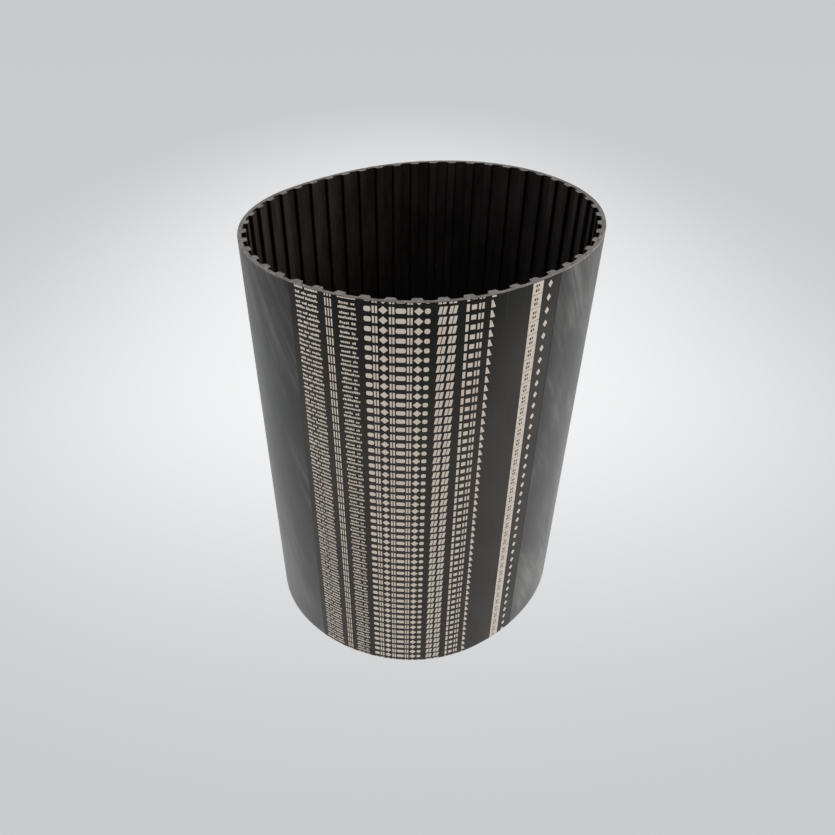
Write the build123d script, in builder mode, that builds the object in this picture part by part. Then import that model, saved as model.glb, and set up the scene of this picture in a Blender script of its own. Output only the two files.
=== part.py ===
"""Wide timing-belt sleeve, standing on one cut edge.

The belt is an endless loop of fifty trapezoidal teeth.  It is made of four bonded layers: rubber backing,
tension-cord ply, rubber teeth and a fabric facing, with a marking film and its print let into the back.
A flexible loop is modelled as ten stiff segments of five teeth, hinged on the pitch line in the middle of
a land, where the real belt bends most.  All lengths are in millimetres and all angles in radians.
"""
from build123d import *
import math
import os

# ---- driving dimensions -------------------------------------------------------------------------------
PITCH = 9.525                 # tooth to tooth, along the cords
TEETH = 50
SLEEVE_WIDTH = 206.0          # cut edge to cut edge, which is the height as it stands
THICKNESS = 3.60              # tooth tip to back
TOOTH_HEIGHT = 1.91
TOOTH_ROOT_WIDTH = 4.65
FLANK_ANGLE = math.radians(20)
TIP_RADIUS = 0.51
ROOT_RADIUS = 0.51
PITCH_LINE_TO_LAND = 0.381    # the cords run this far above the bottom of the grooves
FACING_THICKNESS = 0.20
FILM_THICKNESS = 0.10
PRINT_THICKNESS = 0.04

# ---- the oval that the sleeve stands in ------------------------------------------------------------------
SEGMENTS = 10
SLIT = 0.50                   # gap between two segments, room for the hinge to close
OVAL = 0.1915                 # share by which the turning swells at the two ends of the long axis
EGG_ALONG = 0.1135            # makes one end blunter than the other
EGG_ACROSS = 0.075
SHOULDER = -0.14              # flattens the ends and sides and rounds the four shoulders

# ---- marking on the back, as arc lengths along the pitch line from the first hinge -----------------------
FILM_START = 250.0
FILM_END = 360.0
PRINT_COLUMNS = [             # start and end of each printed column
    (252.9, 263.3),           # fine lines
    (266.0, 268.9),           # three bars
    (271.3, 278.6),           # fine lines
    (281.1, 304.7),           # bold blocks
    (307.5, 314.6),           # two slanted blocks
    (317.2, 324.2),           # three small blocks
    (326.8, 328.9),           # tick
    (344.9, 350.1),           # pale ruler band
    (352.9, 355.5),           # crescents
]

# ---- worked out from the above ----------------------------------------------------------------------------
BACK = THICKNESS - TOOTH_HEIGHT - PITCH_LINE_TO_LAND      # pitch line to the back of the belt
CORD_HALF = PITCH_LINE_TO_LAND - FACING_THICKNESS         # half the thickness of the cord ply
TEETH_PER_SEGMENT = TEETH // SEGMENTS
SEGMENT_LENGTH = PITCH * TEETH_PER_SEGMENT
FULL_TURN = 2 * math.pi


def turning_angles(shift_x, shift_y):
    """Turn of each segment, first one starting at the +X end of the long axis."""
    angles = []
    for k in range(SEGMENTS):
        t = FULL_TURN * (k + 0.5) / SEGMENTS
        share = 1 + OVAL * math.cos(2 * t) + SHOULDER * math.cos(4 * t)
        share += EGG_ALONG * math.cos(3 * t) + EGG_ACROSS * math.sin(3 * t)
        share += shift_x * math.cos(t) + shift_y * math.sin(t)
        angles.append(share * FULL_TURN / SEGMENTS)
    return angles


def walk(angles):
    """Arc centre, start heading and radius of each segment, and the point where the last one ends."""
    point = Vector(0, 0)
    heading = 0.0
    arcs = []
    for angle in angles:
        radius = SEGMENT_LENGTH / angle
        centre = point - radius * Vector(math.cos(heading), math.sin(heading))
        arcs.append((centre, heading, radius))
        heading += angle
        point = centre + radius * Vector(math.cos(heading), math.sin(heading))
    return arcs, point


def close_loop():
    """The small first harmonic that brings the last segment back to the first, by Newton's method."""
    shift = [0.0, 0.0]
    step = 1e-6
    for _ in range(6):
        end = walk(turning_angles(*shift))[1]
        by_x = (walk(turning_angles(shift[0] + step, shift[1]))[1] - end) / step
        by_y = (walk(turning_angles(shift[0], shift[1] + step))[1] - end) / step
        det = by_x.X * by_y.Y - by_y.X * by_x.Y
        shift[0] -= (end.X * by_y.Y - by_y.X * end.Y) / det
        shift[1] -= (by_x.X * end.Y - end.X * by_x.Y) / det
    return turning_angles(*shift)


def reach(arcs, angles, direction):
    """How far the back of the belt reaches towards a compass direction."""
    for (centre, heading, radius), angle in zip(arcs, angles):
        if 0 <= (direction - heading) % FULL_TURN <= angle:
            along = Vector(math.cos(direction), math.sin(direction))
            return centre.dot(along) + radius + BACK
    raise ValueError("no segment faces that way")


turns = close_loop()
arcs_at_hinge = walk(turns)[0]
right, top, left, bottom = [reach(arcs_at_hinge, turns, q * math.pi / 2) for q in range(4)]
middle = Vector((right - left) / 2, (top - bottom) / 2)
arcs = [(centre - middle, heading, radius) for centre, heading, radius in arcs_at_hinge]


def at(k, arc_length, offset):
    """Point on segment k, an arc length from its start and an offset outward from the pitch line."""
    centre, heading, radius = arcs[k]
    angle = heading + arc_length / radius
    return centre + (radius + offset) * Vector(math.cos(angle), math.sin(angle))


def at_tooth(k, tooth, across, offset):
    """Point beside the middle plane of a tooth, so that its flanks stay straight."""
    centre, heading, radius = arcs[k]
    angle = heading + (tooth + 0.5) * PITCH / radius
    outward = Vector(math.cos(angle), math.sin(angle))
    along = Vector(-math.sin(angle), math.cos(angle))
    return centre + (radius + offset) * outward + across * along


def sector_lines(k, start, end, low, high):
    """Closed outline of a stretch of one layer; goes inside a BuildLine."""
    centre, heading, radius = arcs[k]
    first = math.degrees(heading + start / radius)
    swing = math.degrees((end - start) / radius)
    CenterArc(centre, radius + high, first, swing)
    CenterArc(centre, radius + low, first, swing)
    Line(at(k, start, low), at(k, start, high))
    Line(at(k, end, low), at(k, end, high))


def part_in_segment(k, start, end):
    """The share of a stretch of the loop that lies on segment k, or None."""
    low = max(start - k * SEGMENT_LENGTH, SLIT / 2)
    high = min(end - k * SEGMENT_LENGTH, SEGMENT_LENGTH - SLIT / 2)
    if high - low < SLIT:
        return None
    return low, high


def tooth_rubber_lines(k, tooth):
    """Outline of one tooth's rubber, inside its facing and under the cords."""
    radius = arcs[k][2]
    skin = FACING_THICKNESS / math.cos(FLANK_ANGLE)
    tip_depth = PITCH_LINE_TO_LAND + TOOTH_HEIGHT - FACING_THICKNESS
    top_half = TOOTH_ROOT_WIDTH / 2 - skin + (PITCH_LINE_TO_LAND - CORD_HALF) * math.tan(FLANK_ANGLE)
    tip_half = TOOTH_ROOT_WIDTH / 2 - skin - (tip_depth - PITCH_LINE_TO_LAND) * math.tan(FLANK_ANGLE)
    top_offset = math.sqrt((radius - CORD_HALF) ** 2 - top_half ** 2) - radius
    corners = [
        at_tooth(k, tooth, -top_half, top_offset),
        at_tooth(k, tooth, -tip_half, -tip_depth),
        at_tooth(k, tooth, tip_half, -tip_depth),
        at_tooth(k, tooth, top_half, top_offset),
    ]
    FilletPolyline(*corners, radius=TIP_RADIUS - FACING_THICKNESS)
    ThreePointArc(corners[0], at_tooth(k, tooth, 0, -CORD_HALF), corners[3])


def facing_lines(k):
    """Outline of the toothed side, from the cords' underside down to the facing's worn surface."""
    start = SLIT / 2
    end = SEGMENT_LENGTH - SLIT / 2
    root_half = TOOTH_ROOT_WIDTH / 2
    tip_half = root_half - TOOTH_HEIGHT * math.tan(FLANK_ANGLE)
    tip_offset = -PITCH_LINE_TO_LAND - TOOTH_HEIGHT
    corners = [at(k, start, -PITCH_LINE_TO_LAND)]
    for tooth in range(TEETH_PER_SEGMENT):
        corners.append(at_tooth(k, tooth, -root_half, -PITCH_LINE_TO_LAND))
        corners.append(at_tooth(k, tooth, -tip_half, tip_offset))
        corners.append(at_tooth(k, tooth, tip_half, tip_offset))
        corners.append(at_tooth(k, tooth, root_half, -PITCH_LINE_TO_LAND))
    corners.append(at(k, end, -PITCH_LINE_TO_LAND))
    radii = [ROOT_RADIUS, TIP_RADIUS, TIP_RADIUS, ROOT_RADIUS] * TEETH_PER_SEGMENT
    FilletPolyline(*corners, radius=radii)
    Line(corners[-1], at(k, end, -CORD_HALF))
    ThreePointArc(at(k, end, -CORD_HALF), at(k, (start + end) / 2, -CORD_HALF), at(k, start, -CORD_HALF))
    Line(at(k, start, -CORD_HALF), corners[0])


def save(part, name):
    """Labels a finished piece and writes its STEP file."""
    part.label = name
    export_step(part, f"parts/{name}.step")


os.makedirs("parts", exist_ok=True)

for k in range(SEGMENTS):
    number = f"{k + 1:02d}"
    start = SLIT / 2
    end = SEGMENT_LENGTH - SLIT / 2
    film = part_in_segment(k, FILM_START, FILM_END)
    columns = [part_in_segment(k, low, high) for low, high in PRINT_COLUMNS]
    columns = [column for column in columns if column]

    with BuildPart() as backing:
        with BuildSketch():
            with BuildLine():
                sector_lines(k, start, end, CORD_HALF, BACK)
            make_face()
            if film:
                with BuildLine():
                    sector_lines(k, *film, BACK - FILM_THICKNESS, BACK)
                make_face(mode=Mode.SUBTRACT)
        extrude(amount=SLEEVE_WIDTH)
    save(backing.part, f"backing_{number}")

    with BuildPart() as cord_ply:
        with BuildSketch():
            with BuildLine():
                sector_lines(k, start, end, -CORD_HALF, CORD_HALF)
            make_face()
        extrude(amount=SLEEVE_WIDTH)
    save(cord_ply.part, f"cord_ply_{number}")

    with BuildPart() as teeth:
        with BuildSketch():
            for tooth in range(TEETH_PER_SEGMENT):
                with BuildLine():
                    tooth_rubber_lines(k, tooth)
                make_face()
        extrude(amount=SLEEVE_WIDTH)
    save(teeth.part, f"teeth_{number}")

    with BuildPart() as facing:
        with BuildSketch():
            with BuildLine():
                facing_lines(k)
            make_face()
            for tooth in range(TEETH_PER_SEGMENT):
                with BuildLine():
                    tooth_rubber_lines(k, tooth)
                make_face(mode=Mode.SUBTRACT)
        extrude(amount=SLEEVE_WIDTH)
    save(facing.part, f"facing_{number}")

    if film:
        with BuildPart() as marking_film:
            with BuildSketch():
                with BuildLine():
                    sector_lines(k, *film, BACK - FILM_THICKNESS, BACK)
                make_face()
            extrude(amount=SLEEVE_WIDTH)
        save(marking_film.part, f"marking_film_{number}")

    if columns:
        with BuildPart() as marking_print:
            with BuildSketch():
                for column in columns:
                    with BuildLine():
                        sector_lines(k, *column, BACK, BACK + PRINT_THICKNESS)
                    make_face()
            extrude(amount=SLEEVE_WIDTH)
        save(marking_print.part, f"marking_print_{number}")
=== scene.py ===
"""Looks of a wide timing-belt sleeve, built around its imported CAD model.

The belt is drawn in its own coordinates: arc length along the pitch line, offset outward from that line, and
height.  Every vertex keeps these three in the attribute "belt", and the materials read them, so the textures
follow the rubber when the loop bends.  All lengths are in metres.
"""

import math
import random

import bpy
import numpy as np
from mathutils import Matrix, Vector


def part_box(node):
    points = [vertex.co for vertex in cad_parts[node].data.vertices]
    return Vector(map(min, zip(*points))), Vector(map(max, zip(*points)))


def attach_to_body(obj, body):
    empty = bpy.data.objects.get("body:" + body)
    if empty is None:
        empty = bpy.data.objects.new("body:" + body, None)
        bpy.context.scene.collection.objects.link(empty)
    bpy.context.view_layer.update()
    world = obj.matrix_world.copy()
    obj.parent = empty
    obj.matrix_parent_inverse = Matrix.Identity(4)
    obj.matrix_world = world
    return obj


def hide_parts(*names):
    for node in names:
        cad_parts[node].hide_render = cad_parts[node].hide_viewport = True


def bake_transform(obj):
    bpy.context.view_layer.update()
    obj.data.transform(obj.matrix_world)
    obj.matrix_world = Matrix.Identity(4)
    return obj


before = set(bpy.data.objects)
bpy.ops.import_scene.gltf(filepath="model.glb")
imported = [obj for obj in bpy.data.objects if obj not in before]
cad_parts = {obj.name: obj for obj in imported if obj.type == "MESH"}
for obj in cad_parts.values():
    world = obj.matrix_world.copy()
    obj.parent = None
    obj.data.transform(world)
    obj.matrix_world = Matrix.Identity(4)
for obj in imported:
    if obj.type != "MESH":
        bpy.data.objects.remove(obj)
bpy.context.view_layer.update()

# ---- the belt's dimensions, as in the CAD model --------------------------------------------------
MM = 0.001
PITCH = 9.525 * MM
TEETH = 50
SEGMENTS = 10
THICKNESS = 3.60 * MM
TOOTH_HEIGHT = 1.91 * MM
TOOTH_ROOT_HALF = 4.65 / 2 * MM
FLANK_ANGLE = math.radians(20)
TOOTH_RADIUS = 0.51 * MM
PITCH_LINE_TO_LAND = 0.381 * MM
FACING = 0.20 * MM
FILM = 0.10 * MM
PRINT = 0.04 * MM
OVAL = 0.1915
EGG_ALONG = 0.1135
EGG_ACROSS = 0.075
SHOULDER = -0.14
FILM_START = 250.0 * MM
FILM_END = 360.0 * MM

LENGTH = PITCH * TEETH
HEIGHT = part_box("backing_01")[1].z
BACK = THICKNESS - TOOTH_HEIGHT - PITCH_LINE_TO_LAND
CORD = PITCH_LINE_TO_LAND - FACING
TEETH_PER_SEGMENT = TEETH // SEGMENTS
SEGMENT = PITCH * TEETH_PER_SEGMENT
OPEN_HINGE = 1                       # the pivot of the closed loop that no joint holds


# ---- the plan of the loop ------------------------------------------------------------------------
def turning_angles(shift):
    """Turn of each segment, first one starting at the +X end of the long axis."""
    t = 2 * math.pi * (np.arange(SEGMENTS) + 0.5) / SEGMENTS
    share = 1 + OVAL * np.cos(2 * t) + SHOULDER * np.cos(4 * t)
    share += EGG_ALONG * np.cos(3 * t) + EGG_ACROSS * np.sin(3 * t)
    share += shift[0] * np.cos(t) + shift[1] * np.sin(t)
    return share * 2 * math.pi / SEGMENTS


def heading_vector(angle):
    return np.stack([np.cos(angle), np.sin(angle)], -1)


def walk(angles):
    """Arc centres, start headings and radii of the segments, and the point where the last one ends."""
    point = np.zeros(2)
    heading = 0.0
    centres, headings = [], []
    radii = SEGMENT / angles
    for angle, radius in zip(angles, radii):
        centre = point - radius * heading_vector(heading)
        centres.append(centre)
        headings.append(heading)
        heading += angle
        point = centre + radius * heading_vector(heading)
    return np.array(centres), np.array(headings), radii, point


def close_loop():
    """The small first harmonic that brings the last segment back to the first."""
    shift = np.zeros(2)
    step = 1e-6
    for _ in range(6):
        end = walk(turning_angles(shift))[3]
        columns = [(walk(turning_angles(shift + step * axis))[3] - end) / step for axis in np.eye(2)]
        shift = shift - np.linalg.solve(np.array(columns).T, end)
    return turning_angles(shift)


TURNS = close_loop()
CENTRES, HEADINGS, RADII, _ = walk(TURNS)


def reach(direction):
    """How far the back of the belt reaches towards a compass direction."""
    inside = (direction - HEADINGS) % (2 * math.pi) <= TURNS
    k = int(np.argmax(inside))
    return float(CENTRES[k] @ heading_vector(direction)) + RADII[k] + BACK


right, top, left, bottom = [reach(q * math.pi / 2) for q in range(4)]
CENTRES = CENTRES - np.array([(right - left) / 2, (top - bottom) / 2])


def plan(arc, offset):
    """Points of the plan at arc lengths along the pitch line and offsets outward from it."""
    arc, offset = np.broadcast_arrays(np.asarray(arc, float) % LENGTH, np.asarray(offset, float))
    k = np.minimum((arc / SEGMENT).astype(int), SEGMENTS - 1)
    angle = HEADINGS[k] + (arc - k * SEGMENT) / RADII[k]
    return CENTRES[k] + (RADII[k] + offset)[..., None] * heading_vector(angle)


def beside_tooth(tooth, across, offset):
    """Points of the plan beside the middle plane of a tooth, so that its flanks stay straight."""
    arc = (tooth + 0.5) * PITCH % LENGTH
    k = int(arc / SEGMENT)
    angle = HEADINGS[k] + (arc - k * SEGMENT) / RADII[k]
    outward = heading_vector(angle)
    along = np.array([-outward[1], outward[0]])
    across, offset = np.broadcast_arrays(np.asarray(across, float), np.asarray(offset, float))
    return CENTRES[k] + (RADII[k] + offset)[..., None] * outward + across[..., None] * along


def wobble(x, y, wave, seed):
    """Smooth pseudo-random field of about -1 to 1 with the given wavelength."""
    total = 0.0
    for i in range(5):
        turn = seed * 1.7 + i * 2.4
        rate = 2 * math.pi / wave * (0.6 + 0.23 * i)
        total = total + np.sin((x * math.cos(turn) + y * math.sin(turn)) * rate + seed * 3.1 + i * 1.3)
    return total / 3.2


# ---- meshes --------------------------------------------------------------------------------------
class Builder:
    """Collects the vertices and faces of one piece, each vertex with its belt coordinates."""

    def __init__(self):
        self.points, self.belt, self.faces, self.slots = [], [], [], []
        self.count = 0

    def add(self, points, belt):
        """Adds an array of vertices and returns their numbers in the same shape."""
        shape = points.shape[:-1]
        number = np.arange(self.count, self.count + int(np.prod(shape))).reshape(shape)
        self.points.append(points.reshape(-1, 3))
        self.belt.append(np.broadcast_to(belt, points.shape).reshape(-1, 3))
        self.count += number.size
        return number

    def grid(self, number, slot=0, flip=False):
        """Quads over a two-dimensional array of vertex numbers."""
        a, b, c, d = number[:-1, :-1], number[1:, :-1], number[1:, 1:], number[:-1, 1:]
        quads = np.stack([a, d, c, b] if flip else [a, b, c, d], -1).reshape(-1, 4)
        self.faces.append(quads)
        self.slots.append(np.full(len(quads), slot))

    def block(self, number, cap_slot=0):
        """The six sides of a three-dimensional array of vertex numbers: along, across, up."""
        self.grid(number[:, 0, :])
        self.grid(number[:, -1, :], flip=True)
        self.grid(number[0, :, :], flip=True)
        self.grid(number[-1, :, :])
        self.grid(number[:, :, 0], cap_slot, flip=True)
        self.grid(number[:, :, -1], cap_slot)

    def tube(self, number):
        """Closed four-sided strand; the array of vertex numbers is around, along."""
        self.grid(np.concatenate([number, number[:1]]), flip=True)
        self.faces.append(np.array([number[:, 0], number[::-1, -1]]))
        self.slots.append(np.zeros(2))

    def build(self, name, materials, smooth_angle=35):
        """The finished object, with unused vertices dropped."""
        points = np.concatenate(self.points)
        belt = np.concatenate(self.belt)
        faces = np.concatenate(self.faces)
        used, renumbered = np.unique(faces, return_inverse=True)
        mesh = bpy.data.meshes.new(name)
        mesh.from_pydata(points[used].tolist(), [], renumbered.reshape(faces.shape).tolist())
        layer = mesh.attributes.new("belt", "FLOAT_VECTOR", "POINT")
        layer.data.foreach_set("vector", belt[used].astype(np.float32).ravel())
        for material in materials:
            mesh.materials.append(material)
        mesh.polygons.foreach_set("material_index", np.concatenate(self.slots).astype(np.int32))
        mesh.polygons.foreach_set("use_smooth", np.ones(len(mesh.polygons), bool))
        mesh.set_sharp_from_angle(angle=math.radians(smooth_angle))
        mesh.validate()
        mesh.update()
        piece = bpy.data.objects.new(name, mesh)
        bpy.context.scene.collection.objects.link(piece)
        return piece


def lift(flat, heights):
    """Plan points (along, across, 2) raised to heights (along, across, up)."""
    xy = np.broadcast_to(flat[:, :, None, :], heights.shape + (2,))
    return np.concatenate([xy, heights[..., None]], -1)


def belt_coordinates(arc, offset, heights):
    """Belt coordinates (arc length, offset, height) for an array of vertices."""
    arc, offset, heights = np.broadcast_arrays(arc, offset, heights)
    return np.stack([arc, offset, heights], -1)


EDGE_ROUND = 0.25 * MM
LEVELS = np.concatenate([
    [0, EDGE_ROUND],
    np.linspace(3 * MM, HEIGHT - 3 * MM, 15),
    [HEIGHT - EDGE_ROUND, HEIGHT],
])


def cut_heights(arc, offset, roughness):
    """Level heights of a layer; the knife left the upper cut edge uneven, and the lower a little."""
    heights = np.broadcast_to(LEVELS, arc.shape + LEVELS.shape).copy()
    unevenness = wobble(arc, offset, 0.9 * MM, 3) * 0.5 + wobble(arc, offset, 5 * MM, 8) * 0.6
    heights[..., -1] += np.minimum(unevenness * roughness, 0.12 * MM)
    heights[..., 0] += np.abs(unevenness) * roughness * 0.3
    return heights


# ---- where the pieces are cut, and what they follow ----------------------------------------------
BEFORE = 2 * PITCH                   # a piece starts this far before its hinge
AFTER = 3 * PITCH                    # and ends this far after it, where the next piece starts


def stretches():
    """(name, first arc length, last arc length, hinge or body) of every stretch of the loop."""
    found = []
    for hinge in range(SEGMENTS):
        middle = hinge * SEGMENT
        number = f"{hinge + 1:02d}"
        if hinge == OPEN_HINGE:
            found.append((number + "a", middle - BEFORE, middle, "segment_01"))
            found.append((number + "b", middle, middle + AFTER, "segment_02"))
        else:
            found.append((number, middle - BEFORE, middle + AFTER, hinge))
    return found


def body_name(k):
    return f"segment_{k % SEGMENTS + 1:02d}"


def segment_number(holder):
    """Number of the segment that a stretch stands for: its own, or the one after its hinge."""
    return (holder if isinstance(holder, str) else body_name(holder))[-2:]


def attach(piece, holder):
    """Parents a piece to its one body, or, for a piece across a hinge, bakes its transform into its mesh."""
    if isinstance(holder, str):
        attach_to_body(piece, holder)
    else:
        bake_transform(piece)
    return piece


ROUND_STEPS = 4                      # points on each rounded corner of a tooth


def rounded(corners, radii):
    """An open polyline in (across, offset) with its corners rounded."""
    points = [np.array(corners[0])]
    for before, corner, after, radius in zip(corners[:-2], corners[1:-1], corners[2:], radii):
        corner = np.array(corner)
        into = (corner - before) / np.linalg.norm(corner - before)
        out = (after - corner) / np.linalg.norm(after - corner)
        half_turn = math.acos(max(-1.0, min(1.0, float(into @ out)))) / 2
        back = radius * math.tan(half_turn)
        for t in np.linspace(0, 1, ROUND_STEPS):
            a = corner - into * back * (1 - t)
            b = corner + out * back * t
            points.append(a * (1 - t) + b * t)
    points.append(np.array(corners[-1]))
    return np.array(points)


def tooth_section(inset):
    """Half of one groove to half of the next, in (across, offset); inset moves it into the belt."""
    skin = inset / math.cos(FLANK_ANGLE)
    root = TOOTH_ROOT_HALF - skin + inset * math.tan(FLANK_ANGLE)
    tip_depth = PITCH_LINE_TO_LAND + TOOTH_HEIGHT - inset
    land = PITCH_LINE_TO_LAND - inset
    tip = root - (tip_depth - land) * math.tan(FLANK_ANGLE)
    left_half = [(-PITCH / 2, -land), (-root, -land), (-tip, -tip_depth)]
    right_half = [(-across, offset) for across, offset in reversed(left_half)]
    corners = [np.array(corner) for corner in left_half + right_half]
    radii = [TOOTH_RADIUS + inset, TOOTH_RADIUS - inset, TOOTH_RADIUS - inset, TOOTH_RADIUS + inset]
    return rounded(corners, radii)


# ---- materials -----------------------------------------------------------------------------------
class Shader:
    """A node material, with short calls for the nodes that this scene uses."""

    def __init__(self, name, roughness, specular=0.5, sheen=0.0):
        self.material = bpy.data.materials.new(name)
        self.material.use_nodes = True
        self.tree = self.material.node_tree
        self.surface = self.tree.nodes["Principled BSDF"]
        self.surface.inputs["Roughness"].default_value = roughness
        self.surface.inputs["Specular IOR Level"].default_value = specular
        self.surface.inputs["Sheen Weight"].default_value = sheen
        self.surface.inputs["Sheen Roughness"].default_value = 0.5
        self.where = self.make("ShaderNodeAttribute", attribute_name="belt").outputs["Vector"]

    def make(self, kind, **settings):
        node = self.tree.nodes.new(kind)
        for key, value in settings.items():
            setattr(node, key, value)
        return node

    def feed(self, socket, value):
        if isinstance(value, bpy.types.NodeSocket):
            self.tree.links.new(value, socket)
        elif isinstance(value, tuple) and len(value) == 3 and socket.type == "RGBA":
            socket.default_value = (*value, 1.0)
        else:
            socket.default_value = value

    def math(self, operation, a, b=0.0, c=0.0):
        node = self.make("ShaderNodeMath", operation=operation)
        for socket, value in zip(node.inputs, (a, b, c)):
            self.feed(socket, value)
        return node.outputs[0]

    def stretch(self, arc, offset, height, shear=0.0):
        """Belt coordinates divided by the given sizes; shear leans the pattern along the belt."""
        x, y, z = self.parts()
        if shear:
            x = self.math("MULTIPLY_ADD", z, shear, x)
        node = self.make("ShaderNodeCombineXYZ")
        for socket, part, size in zip(node.inputs, (x, y, z), (arc, offset, height)):
            self.feed(socket, self.math("DIVIDE", part, size))
        return node.outputs[0]

    def around(self, arc, height, shear=0.0, length=LENGTH):
        """As stretch, but wound round a ring of the belt's length, so that the pattern meets itself."""
        x, _, z = self.parts()
        leant = self.math("MULTIPLY_ADD", z, shear, x)
        angle = self.math("MULTIPLY", leant, 2 * math.pi / length)
        radius = length / (2 * math.pi * arc)
        node = self.make("ShaderNodeCombineXYZ")
        for socket, turn in zip(node.inputs, ("COSINE", "SINE")):
            self.feed(socket, self.math("MULTIPLY", self.math(turn, angle), radius))
        self.feed(node.inputs[2], self.math("DIVIDE", z, height))
        return node.outputs[0]

    def parts(self):
        node = self.make("ShaderNodeSeparateXYZ")
        self.feed(node.inputs[0], self.where)
        return node.outputs

    def noise(self, vector, detail=3.0, roughness=0.55, distortion=0.0):
        node = self.make("ShaderNodeTexNoise")
        self.feed(node.inputs["Vector"], vector)
        node.inputs["Scale"].default_value = 1.0
        node.inputs["Detail"].default_value = detail
        node.inputs["Roughness"].default_value = roughness
        node.inputs["Distortion"].default_value = distortion
        return node.outputs["Fac"]

    def specks(self, vector, size):
        """1 inside small round specks, one in each cell of the vector's unit grid, and 0 outside."""
        node = self.make("ShaderNodeTexVoronoi")
        self.feed(node.inputs["Vector"], vector)
        node.inputs["Scale"].default_value = 1.0
        return self.ramp(node.outputs["Distance"], size * 0.6, size, 1.0, 0.0)

    def ramp(self, value, low, high, start=0.0, end=1.0):
        node = self.make("ShaderNodeMapRange", interpolation_type="SMOOTHSTEP")
        for socket, v in zip(node.inputs, (value, low, high, start, end)):
            self.feed(socket, v)
        return node.outputs[0]

    def mix(self, share, a, b):
        node = self.make("ShaderNodeMix", data_type="RGBA")
        self.feed(node.inputs[0], share)
        self.feed(node.inputs[6], a)
        self.feed(node.inputs[7], b)
        return node.outputs[2]

    def bump(self, height, distance, strength=1.0, below=None):
        node = self.make("ShaderNodeBump")
        node.inputs["Strength"].default_value = strength
        node.inputs["Distance"].default_value = distance
        self.feed(node.inputs["Height"], height)
        if below is not None:
            self.feed(node.inputs["Normal"], below)
        return node.outputs[0]

    def finish(self, color, roughness=None, normal=None):
        self.feed(self.surface.inputs["Base Color"], color)
        if roughness is not None:
            self.feed(self.surface.inputs["Roughness"], roughness)
        if normal is not None:
            self.feed(self.surface.inputs["Normal"], normal)
        return self.material


def rubber_back():
    """Satin black rubber, cloudy with handling scuffs that lean across the belt; painted light makes it
    lighter low down, and painted sheen pales it beyond the film.
    """
    s = Shader("rubber_back", roughness=0.5, specular=0.22, sheen=0.26)
    x, _, z = s.parts()
    clouds = s.noise(s.around(26 * MM, 60 * MM, shear=0.4), detail=4, roughness=0.6, distortion=0.3)
    streaks = s.noise(s.around(4 * MM, 70 * MM, shear=0.5), detail=5, roughness=0.62, distortion=0.2)
    fine = s.noise(s.around(1.1 * MM, 28 * MM, shear=0.62), detail=3, roughness=0.6)
    scuffs = s.math("MULTIPLY", s.ramp(clouds, 0.4, 0.66), s.ramp(streaks, 0.32, 0.68, 0.25, 1.0))
    scuffs = s.math("MULTIPLY", scuffs, s.ramp(fine, 0.3, 0.7, 0.5, 1.0))
    past_film = s.math("MULTIPLY", s.ramp(x, 358 * MM, 374 * MM), s.ramp(x, 415 * MM, 450 * MM, 1.0, 0.0))
    amount = s.math("MULTIPLY", scuffs, s.ramp(past_film, 0.0, 1.0, 0.4, 1.0))
    # Partly painted sheen: beyond the film the haze pales the rubber, partly cloudy patches of the rubber
    # and partly painted sheen for the side light's grazing reflection.
    haze = s.math("MULTIPLY", past_film, s.ramp(clouds, 0.25, 0.6, 0.35, 1.0))
    # Painted light: the rubber is painted lighter towards the bottom and darker at the top, for the bright
    # floor's reflection.
    painted_floor_light = s.ramp(z, 0.0, 0.95 * HEIGHT, 1.0, 0.0)
    s.feed(s.surface.inputs["Sheen Weight"], s.ramp(z, 0.74 * HEIGHT, HEIGHT, 0.26, 0.14))
    hairlines = s.ramp(s.noise(s.around(0.35 * MM, 60 * MM, shear=0.05), detail=2), 0.66, 0.78)
    dust = s.specks(s.around(7 * MM, 7 * MM), 0.035)
    color = s.mix(painted_floor_light, (0.005, 0.005, 0.005), (0.030, 0.0295, 0.0295))
    color = s.mix(s.math("MULTIPLY", haze, 0.4), color, (0.085, 0.081, 0.074))
    color = s.mix(amount, color, (0.24, 0.232, 0.215))
    color = s.mix(s.math("MULTIPLY", hairlines, 0.22), color, (0.11, 0.11, 0.105))
    color = s.mix(s.math("MULTIPLY", dust, 0.5), color, (0.3, 0.3, 0.28))
    pale_top_band = s.math("MULTIPLY", s.ramp(z, HEIGHT - 0.4 * MM, HEIGHT - 0.12 * MM), pale_corner(s))
    color = s.mix(pale_top_band, color, (0.36, 0.31, 0.285))
    grain = s.noise(s.stretch(0.45 * MM, 1.0, 0.45 * MM), detail=2)
    waves = s.noise(s.around(12 * MM, 60 * MM), detail=2)
    normal = s.bump(waves, 0.5 * MM, 0.35)
    normal = s.bump(grain, 0.03 * MM, 0.5, below=normal)
    rough = s.math("ADD", s.ramp(amount, 0.0, 1.0, 0.52, 0.66), s.math("MULTIPLY", hairlines, 0.08))
    return s.finish(color, rough, normal)


def pale_corner(s):
    """How much paler the back's corner is along the upper cut: most beyond the film."""
    x = s.parts()[0]
    there = s.math("MULTIPLY", s.ramp(x, 300 * MM, 345 * MM), s.ramp(x, 415 * MM, 450 * MM, 1.0, 0.0))
    patchy = s.ramp(s.noise(s.around(4 * MM, 20 * MM), detail=3), 0.35, 0.6)
    return s.math("MULTIPLY", s.ramp(there, 0.0, 1.0, 0.22, 0.85), patchy)


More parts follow.
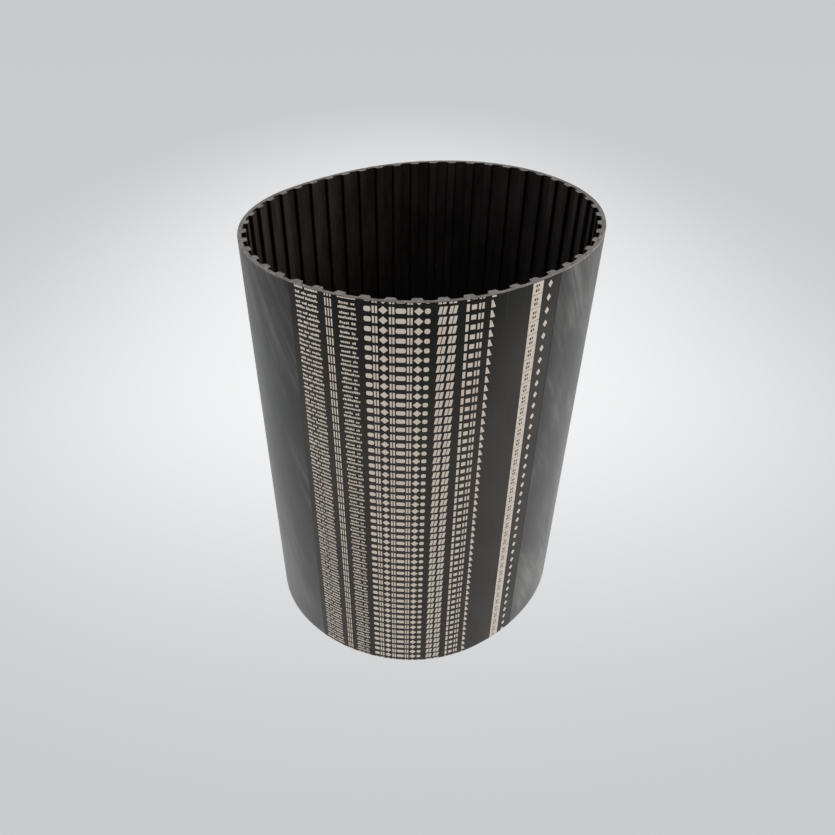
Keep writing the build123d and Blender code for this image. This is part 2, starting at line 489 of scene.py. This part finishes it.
def marking_film_look():
    """Smooth near-black transfer film with fine scratches along the belt's width, and painted reflection in
    its colour.
    """
    s = Shader("marking_film", roughness=0.45, specular=0.15)
    x, _, z = s.parts()
    haze = s.noise(s.stretch(18 * MM, 1.0, 30 * MM, shear=0.4), detail=5, distortion=0.5)
    lines = s.ramp(s.noise(s.stretch(0.28 * MM, 1.0, 45 * MM, shear=0.03), detail=3), 0.58, 0.74)
    bare = s.math("MULTIPLY", s.ramp(x, 328 * MM, 333 * MM), s.ramp(x, 340 * MM, 345 * MM, 1.0, 0.0))
    scratches = s.math("MULTIPLY", lines, s.ramp(bare, 0.0, 1.0, 0.08, 0.55))
    # Painted reflection: the film is painted lighter towards both of its ends and towards the bottom, and
    # darker at its top edge, for what the smooth film reflects.
    beyond = s.ramp(x, 308 * MM, 360 * MM, 0.0, 1.6)
    before = s.ramp(x, 249 * MM, 276 * MM, 0.9, 0.25)
    painted_floor_light = s.ramp(z, 0.6 * HEIGHT, HEIGHT, 1.2, 0.0)
    painted_reflection = s.math("MULTIPLY", s.math("ADD", s.math("ADD", beyond, before), painted_floor_light), 0.5)
    painted_reflection = s.math("MULTIPLY", painted_reflection, s.ramp(z, 0.88 * HEIGHT, HEIGHT, 1.0, 0.55))
    color = s.mix(painted_reflection, (0.003, 0.0027, 0.0024), (0.06, 0.055, 0.050))
    color = s.mix(s.ramp(haze, 0.42, 0.8, 0.0, 0.35), color, (0.04, 0.039, 0.037))
    color = s.mix(scratches, color, (0.10, 0.10, 0.095))
    border = s.ramp(x, FILM_END - 0.55 * MM, FILM_END - 0.3 * MM)
    color = s.mix(s.math("MULTIPLY", border, 0.9), color, (0.003, 0.003, 0.003))
    grain = s.noise(s.stretch(0.4 * MM, 1.0, 0.4 * MM), detail=2)
    rough = s.ramp(haze, 0.3, 0.8, 0.38, 0.52)
    return s.finish(color, rough, s.bump(grain, 0.02 * MM, 0.4))


def ink_look():
    """Warm cream ink, worn thin in places."""
    s = Shader("marking_ink", roughness=0.6, specular=0.25)
    worn = s.noise(s.stretch(1.1 * MM, 1.0, 1.1 * MM), detail=4, roughness=0.7)
    warm = s.noise(s.stretch(20 * MM, 1.0, 30 * MM), detail=2)
    color = s.mix(s.ramp(warm, 0.35, 0.65), (0.80, 0.71, 0.60), (0.80, 0.67, 0.57))
    color = s.mix(s.ramp(worn, 0.56, 0.8, 0.0, 0.55), color, (0.30, 0.26, 0.22))
    grain = s.noise(s.stretch(0.3 * MM, 1.0, 0.3 * MM), detail=2)
    return s.finish(color, 0.6, s.bump(grain, 0.01 * MM, 0.5))


def cut_look(name, dark, pale, lay, edge=False):
    """A knife-cut edge: matte, ground along the belt, with pale specks; lay is the grain's length."""
    s = Shader(name, roughness=0.85, specular=0.25)
    grind = s.noise(s.stretch(lay, 0.3 * MM, 1.0), detail=5, roughness=0.75)
    blotch = s.noise(s.stretch(4 * MM, 2 * MM, 1.0), detail=4, roughness=0.65)
    color = s.mix(s.ramp(grind, 0.38, 0.64), tuple(0.8 * c for c in dark), tuple(1.2 * c for c in pale))
    color = s.mix(s.ramp(blotch, 0.42, 0.64, 0.0, 0.5), color, tuple(0.6 * c for c in dark))
    specks = s.specks(s.stretch(1.9 * MM, 1.9 * MM, 1.0), 0.1)
    color = s.mix(s.math("MULTIPLY", specks, 0.55), color, (0.5, 0.48, 0.44))
    if edge:
        outer = s.ramp(s.parts()[1], BACK - 0.38 * MM, BACK - 0.12 * MM)
        color = s.mix(s.math("MULTIPLY", outer, pale_corner(s)), color, (0.37, 0.32, 0.295))
    return s.finish(color, 0.85, s.bump(grind, 0.12 * MM, 0.8))


def facing_look():
    """Woven twill with patchy wear, brown on the ribs of lands and tips; the flanks are painted black as
    painted shade, and the brown is painted lighter towards the upper edge as painted light.
    """
    s = Shader("facing_twill", roughness=0.85, specular=0.03, sheen=0.012)
    x, y, z = s.parts()
    rib = 1.15 * MM
    along = s.math("SUBTRACT", x, s.math("MULTIPLY", z, 1.1))
    wale = s.math("SINE", s.math("MULTIPLY", along, 2 * math.pi / rib))
    yarn = s.math("SINE", s.math("MULTIPLY", z, 2 * math.pi / (0.6 * MM)))
    height = s.math("MULTIPLY_ADD", yarn, 0.4, wale)
    worn = s.noise(s.around(14 * MM, 40 * MM, length=TEETH * PROFILE_RUN), detail=5, roughness=0.65)
    fuzz = s.noise(s.stretch(0.35 * MM, 1.0, 0.35 * MM), detail=3, roughness=0.7)
    # Painted shade: lands and tips get the brown, and the flanks between them stay black as painted shade.
    on_land = s.ramp(y, -0.42 * MM, -0.75 * MM, 0.42, 0.0)
    on_tip = s.ramp(y, -1.95 * MM, -2.25 * MM, 0.02, 0.44)
    # Painted light: the brown fades towards black lower down and grows towards the upper edge, as light from
    # the open top would fall.
    painted_shade_and_top_light = s.math("MULTIPLY", s.math("ADD", on_land, on_tip), s.ramp(z, 0.5 * HEIGHT, HEIGHT, 0.3, 1.2))
    rising = s.ramp(x, 5 * PROFILE_RUN, 19 * PROFILE_RUN)
    falling = s.ramp(x, 20 * PROFILE_RUN, 26 * PROFILE_RUN, 1.0, 0.0)
    brown = s.math("MULTIPLY", rising, falling)
    ribs = s.ramp(s.math("MULTIPLY_ADD", fuzz, 1.6, height), -0.1, 1.7)
    # The twill ribs and patchy wear, times the painted shade on the flanks and the painted light towards the
    # top.
    rubbed = s.math("MULTIPLY", ribs, s.ramp(worn, 0.3, 0.68, 0.35, 1.0))
    rubbed = s.math("MULTIPLY", rubbed, painted_shade_and_top_light)
    color = s.mix(brown, (0.095, 0.084, 0.078), (0.23, 0.18, 0.148))
    color = s.mix(rubbed, (0.0020, 0.0017, 0.0016), color)
    lint = s.specks(s.around(5 * MM, 5 * MM, length=TEETH * PROFILE_RUN), 0.05)
    color = s.mix(s.math("MULTIPLY", lint, 0.4), color, (0.2, 0.18, 0.16))
    normal = s.bump(height, 0.08 * MM, 0.9)
    normal = s.bump(fuzz, 0.05 * MM, 0.6, below=normal)
    return s.finish(color, 0.85, normal)


def fibre_look():
    """Cut ends of the facing's threads."""
    s = Shader("facing_threads", roughness=0.8, specular=0.2, sheen=0.2)
    tint = s.noise(s.stretch(0.8 * MM, 0.8 * MM, 0.8 * MM), detail=2)
    return s.finish(s.mix(tint, (0.10, 0.092, 0.082), (0.26, 0.24, 0.215)))


# The length of one tooth and one land along the fabric.
PROFILE_RUN = float(np.linalg.norm(np.diff(tooth_section(0.0), axis=0), axis=1).sum())

RUBBER_BACK = rubber_back()
BACK_CUT = cut_look("backing_cut", (0.10, 0.093, 0.088), (0.175, 0.163, 0.155), 2.2 * MM, edge=True)
CORD_CUT = cut_look("cord_cut", (0.07, 0.064, 0.059), (0.22, 0.20, 0.178), 3.0 * MM)
TOOTH_CUT = cut_look("tooth_cut", (0.10, 0.093, 0.087), (0.18, 0.168, 0.158), 1.2 * MM)
FACING_CUT = cut_look("facing_cut", (0.09, 0.082, 0.074), (0.235, 0.215, 0.195), 0.5 * MM)
FILM_LOOK = marking_film_look()
INK_LOOK = ink_look()
FACING_LOOK = facing_look()
FIBRE_LOOK = fibre_look()


# ---- the layers ----------------------------------------------------------------------------------
ARC_STEP = 0.4 * MM


def arcs_between(first, last):
    return np.linspace(first, last, int(round((last - first) / ARC_STEP)) + 1)


def teeth_between(first, last):
    return range(int(round(first / PITCH)), int(round(last / PITCH)))


def layer_block(builder, arc, low, high, across, roughness, waviness=0.0, round_back=0.0):
    """One stretch of a layer between two offsets, as a closed block."""
    share = np.linspace(0, 1, across)
    offset = high + (low - high) * share[None, :]
    arc2 = np.broadcast_to(arc[:, None], (len(arc), across))
    heights = cut_heights(arc2, np.broadcast_to(offset, arc2.shape), roughness)
    shape = heights.shape
    offsets = np.broadcast_to(offset[:, :, None], shape).copy()
    arcs = np.broadcast_to(arc2[:, :, None], shape)
    surface = np.broadcast_to(share[None, :, None] == 0, shape)
    if waviness:
        bulge = wobble(arcs, heights, 55 * MM, 5) * waviness
        offsets = np.where(surface, offsets - np.abs(bulge), offsets)
    if round_back:
        ends = np.zeros(shape[2])
        ends[[0, -1]] = round_back
        offsets = np.where(surface, offsets - ends, offsets)
    points = np.concatenate([plan(arcs, offsets), heights[..., None]], -1)
    number = builder.add(points, belt_coordinates(arcs, offsets, heights))
    builder.block(number[::-1], cap_slot=1)


def backing(name, first, last, holder):
    """Outer rubber, with a shallow recess where the marking film lies."""
    builder = Builder()
    cuts = sorted({first, last, *[edge for edge in (FILM_START, FILM_END) if first < edge < last]})
    for low, high in zip(cuts[:-1], cuts[1:]):
        recessed = FILM_START <= (low + high) / 2 <= FILM_END
        surface = BACK - FILM if recessed else BACK
        layer_block(builder, arcs_between(low, high), CORD, surface, 4, 0.05 * MM,
                    waviness=0.0 if recessed else 0.03 * MM, round_back=0.0 if recessed else 0.12 * MM)
    piece = builder.build("backing_stretch_" + name, [RUBBER_BACK, BACK_CUT])
    return attach(piece, holder)


def cord_ply(name, first, last, holder):
    """Cord layer, which shows only on the cut edges."""
    builder = Builder()
    layer_block(builder, arcs_between(first, last), -CORD, CORD, 2, 0.05 * MM)
    piece = builder.build("cord_ply_stretch_" + name, [CORD_CUT, CORD_CUT])
    return attach(piece, holder)


def resample(points, step):
    """The same polyline with long runs divided."""
    out = [points[0]]
    for a, b in zip(points[:-1], points[1:]):
        n = max(1, int(math.ceil(np.linalg.norm(b - a) / step)))
        out += [a + (b - a) * i / n for i in range(1, n + 1)]
    return np.array(out)


def tooth_plan(tooth, section):
    """Plan points of a section in (across, offset); its lands follow the curve of the loop."""
    straight = beside_tooth(tooth, section[:, 0], section[:, 1])
    curved = plan((tooth + 0.5) * PITCH + section[:, 0], section[:, 1])
    on_land = np.clip((np.abs(section[:, 0]) - TOOTH_ROOT_HALF) / (0.6 * MM), 0, 1)[:, None]
    return straight * (1 - on_land) + curved * on_land


def facing(name, first, last, holder):
    """Fabric over the teeth and the lands, one closed skin for each stretch."""
    builder = Builder()
    both = resample(np.hstack([tooth_section(0.0), tooth_section(FACING)]), 0.5 * MM)
    worn_side, rubber_side = both[:, :2], both[:, 2:]
    steps = np.linalg.norm(np.diff(worn_side, axis=0), axis=1)
    run = np.concatenate([[0], np.cumsum(steps)])
    flat, profile, arcs, offsets = [], [], [], []
    for i, tooth in enumerate(teeth_between(first, last)):
        keep = slice(0 if i == 0 else 1, None)
        pair = np.stack([tooth_plan(tooth, rubber_side), tooth_plan(tooth, worn_side)], 1)
        flat.append(pair[keep])
        profile.append((tooth * run[-1] + run)[keep])
        arcs.append(((tooth + 0.5) * PITCH + worn_side[:, 0])[keep])
        offsets.append(np.stack([rubber_side[:, 1], worn_side[:, 1]], 1)[keep])
    flat, profile = np.concatenate(flat), np.concatenate(profile)
    arcs, offsets = np.concatenate(arcs), np.concatenate(offsets)
    arc2 = np.broadcast_to(arcs[:, None], offsets.shape)
    heights = cut_heights(arc2, offsets, 0.07 * MM)
    ragged = wobble(profile, profile * 0, 0.8 * MM, 11)
    heights[:, 1, -1] -= np.abs(ragged) * 0.10 * MM
    points = lift(flat, heights)
    number = builder.add(points, belt_coordinates(profile[:, None, None], offsets[:, :, None], heights))
    builder.block(number[::-1], cap_slot=1)
    piece = builder.build("facing_stretch_" + name, [FACING_LOOK, FACING_CUT], smooth_angle=50)
    return attach(piece, holder)


def teeth_rubber(name, first, last, holder):
    """Rubber inside the facing; only its cut ends show."""
    builder = Builder()
    section = tooth_section(FACING)
    half = TOOTH_ROOT_HALF - FACING * 0.6
    section = section[np.abs(section[:, 0]) < half]
    section = np.concatenate([[[section[0, 0], -CORD]], section, [[section[-1, 0], -CORD]]])
    section = resample(section, 0.4 * MM)
    roof = np.stack([section[:, 0], np.full(len(section), -CORD)], 1)
    for tooth in teeth_between(first, last):
        share = np.linspace(0, 1, 4)[None, :, None]
        grid = roof[:, None, :] * (1 - share) + section[:, None, :] * share
        flat = beside_tooth(tooth, grid[..., 0], grid[..., 1])
        arc = (tooth + 0.5) * PITCH + grid[..., 0]
        heights = cut_heights(arc, grid[..., 1], 0.05 * MM)
        belt = belt_coordinates(arc[..., None], grid[..., 1, None], heights)
        number = builder.add(lift(flat, heights), belt)
        builder.block(number[::-1], cap_slot=1)
    piece = builder.build("teeth_stretch_" + name, [TOOTH_CUT, TOOTH_CUT])
    return attach(piece, holder)


def marking_film(name, first, last, holder):
    """Film let into the back, with a hairline gap at its borders."""
    gap = 0.08 * MM
    low, high = max(first, FILM_START + gap), min(last, FILM_END - gap)
    if high - low < 1 * MM:
        return None
    builder = Builder()
    layer_block(builder, arcs_between(low, high), BACK - FILM, BACK, 2, 0.02 * MM, round_back=0.05 * MM)
    piece = builder.build("marking_film_stretch_" + name, [FILM_LOOK, FILM_LOOK])
    return attach(piece, holder)


# ---- the print -----------------------------------------------------------------------------------
ROW_PITCH = 3.985 * MM
FIRST_ROW = 202.7 * MM               # middle of the uppermost whole row
BAND_PITCH = 5.475 * MM
FIRST_DIVIDER = 200.95 * MM
EDGE_GAP = 0.15 * MM                 # the print stops this far from a cut edge


class Marks:
    """Thin raised shapes on the film, each given by levels of (height, left, right)."""

    def __init__(self):
        self.shapes = []

    def levels(self, rows):
        """Adds a shape, cut off where it would pass an edge of the belt."""
        rows = [(z, a, b) for z, a, b in rows if b > a]
        low, high = EDGE_GAP, HEIGHT - EDGE_GAP
        inside = []
        for (z0, a0, b0), (z1, a1, b1) in zip(rows[:-1], rows[1:]):
            if z1 <= low or z0 >= high or z1 - z0 < 1e-7:
                continue
            t0, t1 = max(0.0, (low - z0) / (z1 - z0)), min(1.0, (high - z0) / (z1 - z0))
            cut = [(z0 + (z1 - z0) * t, a0 + (a1 - a0) * t, b0 + (b1 - b0) * t) for t in (t0, t1)]
            inside += cut if not inside else cut[1:]
        if len(inside) > 1:
            self.shapes.append(np.array(inside))

    def bar(self, left, right, middle, tall, lean=0.0, soft=0.0):
        """Upright bar; lean shifts its top along the belt, soft rounds its corners."""
        half = tall / 2
        if soft:
            turns = np.linspace(0, math.pi / 2, 4)
            ends = [(half - soft + soft * math.sin(t), soft - soft * math.cos(t)) for t in turns]
            profile = [(-h, inset) for h, inset in reversed(ends)] + ends
        else:
            profile = [(-half, 0.0), (half, 0.0)]
        rows = []
        for h, inset in profile:
            shift = lean * h / tall
            rows.append((middle + h, left + inset + shift, right - inset + shift))
        self.levels(rows)

    def diamond(self, left, right, middle, tall):
        """Solid diamond with blunt tips."""
        centre, blunt = (left + right) / 2, 0.12 * MM
        tips = [(middle + side * tall / 2, centre - blunt, centre + blunt) for side in (-1, 1)]
        self.levels([tips[0], (middle, left, right), tips[1]])

    def build(self, name, first, last, material):
        """One piece of all the marks whose middle lies between two arc lengths."""
        builder = Builder()
        for rows in self.shapes:
            centre = (rows[:, 1].mean() + rows[:, 2].mean()) / 2
            if not first <= centre < last:
                continue
            width = (rows[:, 2] - rows[:, 1]).max()
            share = np.linspace(0, 1, max(2, int(math.ceil(width / (1.0 * MM))) + 1))
            arc = rows[:, 1, None] * (1 - share) + rows[:, 2, None] * share
            arc = np.repeat(arc.T[:, None, :], 2, axis=1)
            offset = np.broadcast_to(np.array([BACK + PRINT, BACK - PRINT / 2])[None, :, None], arc.shape)
            height = np.broadcast_to(rows[None, None, :, 0], arc.shape)
            points = np.concatenate([plan(arc, offset), height[..., None]], -1)
            number = builder.add(points, belt_coordinates(arc, offset, height))
            builder.block(number[::-1])
        if not builder.count:
            return None
        return builder.build(name, [material])


LOW_BLOCK = 0.72 * MM                # the two heights of the blocks in the smallest print
HIGH_BLOCK = 1.0 * MM


def spans(*edges):
    """Pairs of arc lengths, from edges given in millimetres."""
    return [(a * MM, b * MM) for a, b in zip(edges[::2], edges[1::2])]


def fine_line(marks, columns, middle, rng):
    """A line of very small print: short blocks of uneven width and height."""
    for left, right in columns:
        at = left
        while at < right - 0.3 * MM:
            width = min(rng.uniform(0.42, 0.74) * MM, right - at)
            tall = rng.choice([LOW_BLOCK, LOW_BLOCK, HIGH_BLOCK])
            marks.bar(at, at + width, middle + (tall - LOW_BLOCK) / 2, tall)
            at += width + rng.uniform(0.13, 0.2) * MM


BOLD_START = 281.1                   # where the boldest column starts, in millimetres
BOLD_GAP = 0.44
BOLD_FIGURES = [
    ("pill", 2.6),
    ("pair", 1.9),
    ("diamond", 3.3),
    ("pair", 1.9),
    ("pill", 3.6),
    ("pair", 1.9),
    ("diamond", 3.3),
    ("pill", 2.0),
]


def bold_row(marks, middle):
    """Heavy generic figures: pills, diamonds and pairs of bars, never letters."""
    left = BOLD_START
    for figure, width in BOLD_FIGURES:
        a, b = left * MM, (left + width) * MM
        if figure == "pill":
            marks.bar(a, b, middle, 2.0 * MM, soft=0.7 * MM)
        elif figure == "diamond":
            marks.diamond(a, b, middle, 2.9 * MM)
        else:
            marks.bar(a, a + 0.75 * MM, middle, 2.75 * MM)
            marks.bar(b - 0.75 * MM, b, middle, 2.75 * MM)
        left += width + BOLD_GAP


def slanted_row(marks, middle):
    """Two pairs of thick leaning bars."""
    for left in (307.5, 311.3):
        for step in (0.0, 1.55):
            marks.bar((left + step) * MM, (left + step + 1.2) * MM, middle, 2.95 * MM, lean=0.6 * MM)


def small_row(marks, middle):
    """A tall bar, a square and two short bars."""
    marks.bar(317.4 * MM, 318.5 * MM, middle, 2.9 * MM)
    marks.bar(319.3 * MM, 321.2 * MM, middle, 1.9 * MM)
    for left in (322.0, 323.3):
        marks.bar(left * MM, (left + 0.8) * MM, middle, 2.4 * MM)


def tick_row(marks, middle):
    """A wedge, widest at its foot."""
    rows = [(-1.45, 326.8, 328.7), (1.45, 326.8, 327.4)]
    marks.levels([(middle + z * MM, a * MM, b * MM) for z, a, b in rows])


def ruler_cell(marks, divider):
    """One cell of the pale band, with small gaps left open in it, and the diamond beside it."""
    left, right = 344.9 * MM, 350.1 * MM
    low, high = divider + 0.1 * MM, divider + BAND_PITCH - 0.1 * MM
    slots = [(low, low + 1.0 * MM), (low + 2.2 * MM, low + 2.9 * MM), (low + 4.0 * MM, high)]
    marks.bar(left, 346.4 * MM, (low + high) / 2, high - low)
    marks.bar(348.2 * MM, right, (low + high) / 2, high - low)
    for a, b in slots:
        marks.bar(346.4 * MM, 348.2 * MM, (a + b) / 2, b - a)
    for a, b in zip(slots[:-1], slots[1:]):
        middle = (a[1] + b[0]) / 2
        marks.bar(347.2 * MM, 347.6 * MM, middle, b[0] - a[1])
    marks.diamond(352.9 * MM, 355.3 * MM, divider + BAND_PITCH * 0.42, 2.9 * MM)


def all_marks():
    """Every printed mark on the film."""
    marks = Marks()
    rng = random.Random(7)
    rows = int(HEIGHT / ROW_PITCH) + 2
    for n in range(-1, rows):
        middle = FIRST_ROW - n * ROW_PITCH
        fine_line(marks, spans(253.1, 255.4, 256.0, 258.2, 258.8, 262.8), middle + 0.62 * MM, rng)
        fine_line(marks, spans(252.9, 257.1, 257.7, 263.3), middle - 1.2 * MM, rng)
        for left in (266.05, 267.15, 268.25):
            marks.bar(left * MM, (left + 0.52) * MM, middle - 0.1 * MM, 3.1 * MM)
        fine_line(marks, spans(271.8, 275.5, 276.4, 278.1), middle + 0.85 * MM, rng)
        fine_line(marks, spans(271.3, 278.6), middle - 0.95 * MM, rng)
        bold_row(marks, middle)
        slanted_row(marks, middle)
        small_row(marks, middle)
        tick_row(marks, middle)
    cells = int(HEIGHT / BAND_PITCH) + 2
    for n in range(-1, cells):
        ruler_cell(marks, FIRST_DIVIDER - n * BAND_PITCH)
    return marks


def marking_print(name, first, last, holder):
    """The printed marks of one stretch."""
    piece = MARKS.build("marking_print_stretch_" + name, first, last, INK_LOOK)
    return attach(piece, holder) if piece else None


# ---- frayed threads on the upper edge ------------------------------------------------------------
def threads(name, first, last, holder):
    """Cut thread ends along the facing's upper edge, longest on the lands, each a tapered strand."""
    rng = random.Random(int(first / PITCH) + 500)
    builder = Builder()
    section = resample(tooth_section(FACING * 0.5), 0.24 * MM)
    slope = np.gradient(section, axis=0)
    along = np.array([0.0, 0.5, 1.0])[:, None]
    for tooth in teeth_between(first, last):
        for place, direction in zip(section, slope):
            on_land = abs(place[0]) > TOOTH_ROOT_HALF
            if rng.random() > (0.75 if on_land else 0.35):
                continue
            inward = np.array([direction[1], -direction[0]]) / np.linalg.norm(direction)
            side = np.array([-inward[1], inward[0]])
            long = rng.uniform(0.2, 0.6 if on_land else 0.3) * MM
            thick = rng.uniform(0.05, 0.12) * MM
            droop = rng.uniform(-0.2, 0.05) * MM
            lean = rng.uniform(-0.35, 0.35) * long
            spine = place + inward * (long * along) + side * (lean * along ** 2)
            height = HEIGHT - 0.1 * MM + droop * along[:, 0] ** 2
            width = thick * np.array([1.0, 0.85, 0.35])
            ring = []
            for turn in (0.0, 0.25, 0.5, 0.75):
                angle = 2 * math.pi * turn
                flat = spine + side * (width * math.cos(angle))[:, None]
                flat = beside_tooth(tooth, flat[:, 0], flat[:, 1])
                ring.append(np.column_stack([flat, height + width * math.sin(angle)]))
            ring = np.array(ring)
            arc = (tooth + 0.5) * PITCH + place[0]
            number = builder.add(ring, belt_coordinates(arc, place[1], ring[..., 2]))
            builder.tube(number)
    piece = builder.build("threads_stretch_" + name, [FIBRE_LOOK])
    return attach(piece, holder)


# ---- stage, lights and camera --------------------------------------------------------------------
CAMERA_TURN = math.radians(38.40)    # from the camera's right to the row's +X
CAMERA_TILT = math.radians(40.36)    # below the horizon
CAMERA_ROLL = math.radians(-0.55)
CAMERA_PLACE = (-0.0170, -0.3135, 0.3267)   # right, forward and up, before the turn
CAMERA_LENS = 31.99
CAMERA_SHIFT = (0.0318, 0.0730)
SENSOR_WIDTH = 36

GLOW_CENTRE = 0.20                   # the middle of the floor's glow, behind the belt's centre
GLOW_BEFORE = 0.355                  # how far it reaches forward, back and sideways
GLOW_BEHIND = 0.84
GLOW_ACROSS = 0.47
GLOW_MIDDLE = (0.885, 0.888, 0.896)
GLOW_OUTSIDE = (0.56, 0.573, 0.586)
FLOOR_COLOR = (0.025, 0.025, 0.025)  # what the floor returns of the lights, besides its glow
FLOOR_HALF = 12.0

WORLD_STRENGTH = 0.55
OVERHEAD_POWER = 14.0
PANEL_POWER = 9.0
LIGHTS_AIM = (0.0, 0.0, 0.1)


def make_camera():
    data = bpy.data.cameras.new("camera")
    camera = bpy.data.objects.new("camera", data)
    bpy.context.scene.collection.objects.link(camera)
    right = Vector((1, 0, 0))
    up = Vector((0, math.sin(CAMERA_TILT), math.cos(CAMERA_TILT)))
    x_axis = right * math.cos(CAMERA_ROLL) + up * math.sin(CAMERA_ROLL)
    y_axis = up * math.cos(CAMERA_ROLL) - right * math.sin(CAMERA_ROLL)
    z_axis = x_axis.cross(y_axis)
    rotation = Matrix((x_axis, y_axis, z_axis)).transposed().to_4x4()
    place = Matrix.Translation(CAMERA_PLACE) @ rotation
    camera.matrix_world = Matrix.Rotation(-CAMERA_TURN, 4, "Z") @ place
    data.lens = CAMERA_LENS
    data.sensor_width = SENSOR_WIDTH
    data.shift_x, data.shift_y = CAMERA_SHIFT
    data.clip_start = 0.01
    bpy.context.scene.camera = camera


def towards_camera(x, y, z):
    """A point given right, forward and up as seen from the camera's side, in the row frame."""
    return Matrix.Rotation(-CAMERA_TURN, 3, "Z") @ Vector((x, y, z))


def softbox(name, place, size, power):
    data = bpy.data.lights.new(name, "AREA")
    data.shape = "RECTANGLE"
    data.size, data.size_y = size
    data.energy = power
    light = bpy.data.objects.new(name, data)
    bpy.context.scene.collection.objects.link(light)
    light.location = towards_camera(*place)
    direction = towards_camera(*LIGHTS_AIM) - light.location
    light.rotation_euler = direction.to_track_quat("-Z", "Y").to_euler()


def make_stage():
    """Large pale floor that glows softly, as a lit table does, brightest around the object."""
    mesh = bpy.data.meshes.new("floor")
    r = FLOOR_HALF
    mesh.from_pydata([(-r, -r, 0), (r, -r, 0), (r, r, 0), (-r, r, 0)], [], [(0, 1, 2, 3)])
    floor = bpy.data.objects.new("floor", mesh)
    bpy.context.scene.collection.objects.link(floor)
    s = Shader("floor", roughness=0.9, specular=0.0)
    glow = floor_glow(s)
    s.feed(s.surface.inputs["Emission Color"], glow)
    s.surface.inputs["Emission Strength"].default_value = 1.0
    mesh.materials.append(s.finish(FLOOR_COLOR))


def floor_glow(s):
    """An egg-shaped pool of light, longer behind the object than in front of it."""
    where = s.make("ShaderNodeTexCoord").outputs["Object"]
    turned = s.make("ShaderNodeVectorRotate", rotation_type="Z_AXIS")
    s.feed(turned.inputs["Vector"], where)
    turned.inputs["Angle"].default_value = CAMERA_TURN
    parts = s.make("ShaderNodeSeparateXYZ")
    s.feed(parts.inputs[0], turned.outputs[0])
    depth = s.math("SUBTRACT", parts.outputs[1], GLOW_CENTRE)
    behind = s.math("DIVIDE", s.math("MAXIMUM", depth, 0.0), GLOW_BEHIND)
    before = s.math("DIVIDE", s.math("MINIMUM", depth, 0.0), GLOW_BEFORE)
    across = s.math("DIVIDE", parts.outputs[0], GLOW_ACROSS)
    total = s.math("MULTIPLY", across, across)
    for part in (behind, before):
        total = s.math("ADD", total, s.math("MULTIPLY", part, part))
    far = s.math("SQRT", total)
    return s.mix(s.ramp(far, 0.12, 1.08), GLOW_MIDDLE, GLOW_OUTSIDE)


def make_light():
    scene = bpy.context.scene
    world = bpy.data.worlds.new("world")
    scene.world = world
    world.use_nodes = True
    background = world.node_tree.nodes["Background"]
    background.inputs["Color"].default_value = (0.98, 0.99, 1.0, 1.0)
    background.inputs["Strength"].default_value = WORLD_STRENGTH
    softbox("overhead", (0.0, 0.25, 1.6), (1.6, 1.6), OVERHEAD_POWER)
    softbox("left_panel", (-1.3, 0.35, 0.6), (0.9, 1.2), PANEL_POWER)
    softbox("right_panel", (1.3, 0.35, 0.6), (0.9, 1.2), PANEL_POWER)
    scene.view_settings.view_transform = "Standard"
    scene.view_settings.look = "None"


# ---- putting it together -------------------------------------------------------------------------
make_camera()
make_stage()
make_light()

MARKS = all_marks()
makers = {
    "backing": backing,
    "cord_ply": cord_ply,
    "teeth": teeth_rubber,
    "facing": facing,
    "marking_film": marking_film,
    "marking_print": marking_print,
}
for name, first, last, holder in stretches():
    for kind, maker in makers.items():
        piece = maker(name, first, last, holder)
        if piece:
            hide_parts(kind + "_" + segment_number(holder))
    threads(name, first, last, holder)
